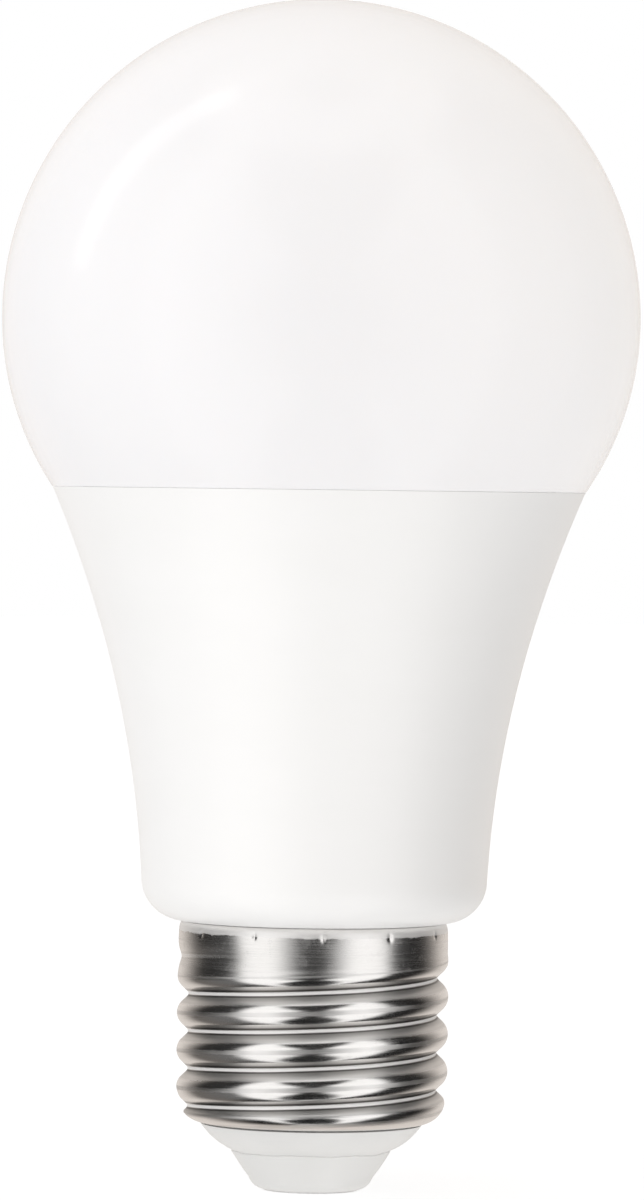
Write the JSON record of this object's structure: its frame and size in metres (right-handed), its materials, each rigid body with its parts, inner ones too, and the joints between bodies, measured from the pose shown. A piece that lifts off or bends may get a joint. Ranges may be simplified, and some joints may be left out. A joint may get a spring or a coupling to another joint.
{
  "type": "smart light bulb",
  "caption": "Smart LED light bulb with an opal globe, a flared white housing and an E27 screw cap, with its wireless light engine and power board inside.",
  "frame": {"origin": "middle of the centre contact's flat bottom face", "axes": "+Z along the lamp's axis, from the centre contact to the top of the globe; +X along the slot of the radio module; -Y is the side that faces the viewer"},
  "size_m": [0.0618, 0.0618, 0.1153],
  "materials": {
    "opal": "opal, light diffusing, soft gloss",
    "housing": "satin white with a very fine moulded texture",
    "silicone": "matte translucent white",
    "aluminium": "plain drawn sheet",
    "thermal_pad": "matte grey",
    "led_board": "white solder mask",
    "screw": "zinc plated",
    "warm_phosphor": "amber phosphor in a white package",
    "cool_phosphor": "yellow phosphor in a white package",
    "rgb_package": "clear window in a white package",
    "radio_board": "blue solder mask",
    "shield": "tin plated can",
    "connector": "black moulding",
    "driver_board": "green solder mask",
    "bobbin": "black moulding",
    "capacitor": "dark shrink sleeve on an aluminium can",
    "film_capacitor": "yellow box",
    "varistor": "blue dipped coating",
    "ferrite": "sintered, dull dark grey",
    "copper": "enamelled copper wire",
    "winding_tape": "yellow insulating tape over the winding",
    "epoxy": "black moulded package",
    "resistor": "green coating",
    "sleeve": "black shrink sleeve",
    "live_wire": "red insulation",
    "neutral_wire": "blue insulation",
    "screw_shell": "bright warm nickel plating with faint turning lines",
    "insulator": "off-white, soft gloss",
    "contact": "satin tinned metal"
  },
  "bodies": {
    "root": {"diffuser_globe": "opal", "housing_shell": "housing", "seal_ring": "silicone", "heat_sink_cup": "aluminium", "thermal_pad": "thermal_pad", "led_board": "led_board", "board_screw_1": "screw", "board_screw_2": "screw", "warm_led_1": "warm_phosphor", "warm_led_2": "warm_phosphor", "warm_led_3": "warm_phosphor", "warm_led_4": "warm_phosphor", "warm_led_5": "warm_phosphor", "warm_led_6": "warm_phosphor", "warm_led_7": "warm_phosphor", "warm_led_8": "warm_phosphor", "cool_led_1": "cool_phosphor", "cool_led_2": "cool_phosphor", "cool_led_3": "cool_phosphor", "cool_led_4": "cool_phosphor", "cool_led_5": "cool_phosphor", "cool_led_6": "cool_phosphor", "cool_led_7": "cool_phosphor", "cool_led_8": "cool_phosphor", "rgb_led_1": "rgb_package", "rgb_led_2": "rgb_package", "rgb_led_3": "rgb_package", "rgb_led_4": "rgb_package", "radio_module_board": "radio_board", "radio_shield_can": "shield", "board_socket": "connector", "pin_header": "connector", "driver_board": "driver_board", "bulk_capacitor": "capacitor", "output_capacitor": "capacitor", "film_capacitor": "film_capacitor", "varistor": "varistor", "choke_core": "ferrite", "choke_winding": "copper", "transformer_core": "ferrite", "transformer_bobbin": "bobbin", "transformer_winding": "winding_tape", "bridge_rectifier": "epoxy", "output_diode": "epoxy", "power_controller": "epoxy", "led_driver_chip_1": "epoxy", "led_driver_chip_2": "epoxy", "fuse_resistor": "resistor", "fuse_sleeve": "sleeve", "live_wire": "live_wire", "neutral_wire": "neutral_wire", "screw_shell": "screw_shell", "cap_insulator": "insulator", "centre_contact": "contact"}
  },
  "joints": []
}
